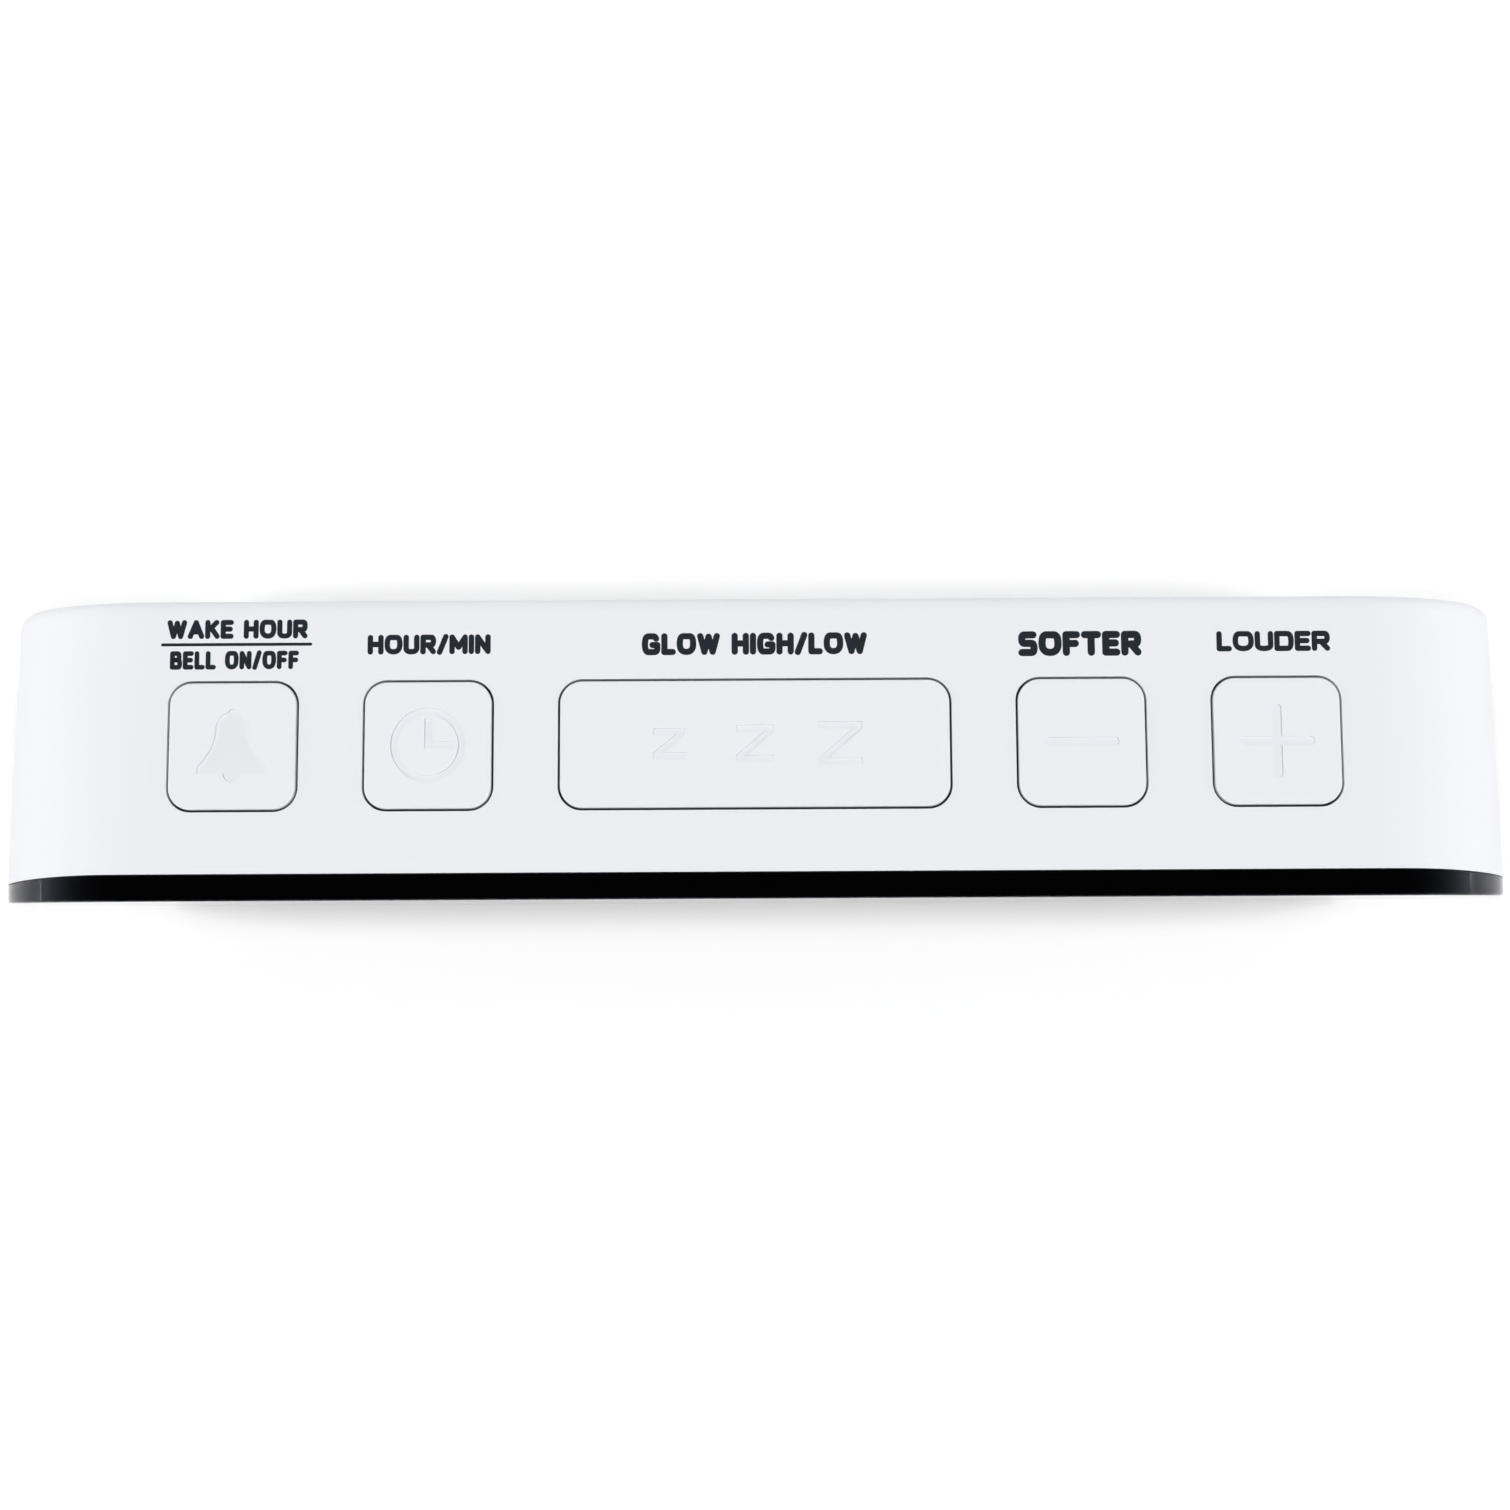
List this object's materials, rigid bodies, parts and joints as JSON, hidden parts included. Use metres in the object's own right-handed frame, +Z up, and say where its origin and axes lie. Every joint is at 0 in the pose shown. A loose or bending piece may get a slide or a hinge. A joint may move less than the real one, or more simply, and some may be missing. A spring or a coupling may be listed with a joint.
{
  "type": "digital alarm clock",
  "caption": "Slim upright digital alarm clock: white tapered case with flush top keys, smoked full-width front lens, backlit figures and a hinged battery door in the rear cover.",
  "frame": {"origin": "on the table under the middle of the clock's box", "axes": "+X to the user's right along the case, +Y from the display to the rear, +Z up"},
  "size_m": [0.163, 0.0314, 0.071],
  "materials": {
    "white_abs": "satin moulded white",
    "key_abs": "satin moulded white",
    "smoked_acrylic": "polished, near-black smoked acrylic",
    "black_tape": "dull black foam tape",
    "reflector_plastic": "dull black moulded",
    "milky_lightpipe": "milky, lit from behind",
    "lamp_resin": "clear moulded resin",
    "circuit_board": "green solder mask",
    "zinc_plated_steel": "bright zinc plate",
    "nickel_plated_steel": "nickel plate",
    "black_resin": "moulded resin",
    "capacitor_sleeve": "shrunk dark blue sleeve",
    "chip_ceramic": "glazed chip",
    "switch_plastic": "moulded black",
    "plunger_plastic": "moulded red",
    "grey_ribbon": "flat grey ribbon",
    "cell_jacket": "plain printed film over steel",
    "pressed_steel": "pressed and plated",
    "ferrite": "ground ferrite",
    "black_paper": "pressed paper",
    "copper_wire": "enamelled copper",
    "lead_sleeve": "soft insulation",
    "socket_plastic": "moulded black",
    "black_rubber": "dull rubber"
  },
  "bodies": {
    "clock": {"case_shell": "white_abs", "back_cover": "white_abs", "front_lens": "smoked_acrylic", "lens_tape": "black_tape", "display_reflector": "reflector_plastic", "hour_tens_segments": "milky_lightpipe", "hour_ones_segments": "milky_lightpipe", "minute_tens_segments": "milky_lightpipe", "minute_ones_segments": "milky_lightpipe", "colon_dots": "milky_lightpipe", "alarm_dot": "milky_lightpipe", "display_leds": "lamp_resin", "main_board": "circuit_board", "key_board": "circuit_board", "board_screws": "zinc_plated_steel", "key_board_screws": "zinc_plated_steel", "cover_screws": "zinc_plated_steel", "speaker_screws": "zinc_plated_steel", "battery_contacts": "nickel_plated_steel", "battery_springs": "nickel_plated_steel", "quartz_crystal": "nickel_plated_steel", "socket_pin": "nickel_plated_steel", "controller_chip": "black_resin", "driver_transistors": "black_resin", "smoothing_capacitors": "capacitor_sleeve", "chip_resistors": "chip_ceramic", "switch_bodies": "switch_plastic", "key_ribbon": "grey_ribbon", "battery_cells": "cell_jacket", "speaker_frame": "pressed_steel", "speaker_magnet": "ferrite", "speaker_cone": "black_paper", "voice_coil": "copper_wire", "battery_leads": "lead_sleeve", "speaker_leads": "lead_sleeve", "power_leads": "lead_sleeve", "power_socket": "socket_plastic", "rubber_feet": "black_rubber"},
    "alarm_button": {"alarm_key": "key_abs", "alarm_plunger": "plunger_plastic"},
    "time_button": {"time_key": "key_abs", "time_plunger": "plunger_plastic"},
    "snooze_button": {"snooze_key": "key_abs", "snooze_plunger": "plunger_plastic"},
    "minus_button": {"minus_key": "key_abs", "minus_plunger": "plunger_plastic"},
    "plus_button": {"plus_key": "key_abs", "plus_plunger": "plunger_plastic"},
    "battery_lid": {"battery_door": "white_abs"}
  },
  "joints": [
    {"name": "alarm_press", "type": "slide", "parent": "clock", "child": "alarm_button", "axis": [0, -0.0595, -0.9982], "range_m": [0, 0.0005], "stiffness_N_per_m": 400, "springref_m": -0.001},
    {"name": "time_press", "type": "slide", "parent": "clock", "child": "time_button", "axis": [0, -0.0595, -0.9982], "range_m": [0, 0.0005], "stiffness_N_per_m": 400, "springref_m": -0.001},
    {"name": "snooze_press", "type": "slide", "parent": "clock", "child": "snooze_button", "axis": [0, -0.0595, -0.9982], "range_m": [0, 0.0005], "stiffness_N_per_m": 400, "springref_m": -0.001},
    {"name": "minus_press", "type": "slide", "parent": "clock", "child": "minus_button", "axis": [0, -0.0595, -0.9982], "range_m": [0, 0.0005], "stiffness_N_per_m": 400, "springref_m": -0.001},
    {"name": "plus_press", "type": "slide", "parent": "clock", "child": "plus_button", "axis": [0, -0.0595, -0.9982], "range_m": [0, 0.0005], "stiffness_N_per_m": 400, "springref_m": -0.001},
    {"name": "battery_lid_hinge", "type": "hinge", "parent": "clock", "child": "battery_lid", "pos_m": [0.044, 0.01395, 0.02295], "axis": [-1, 0, 0], "range_deg": [0, 95]}
  ]
}
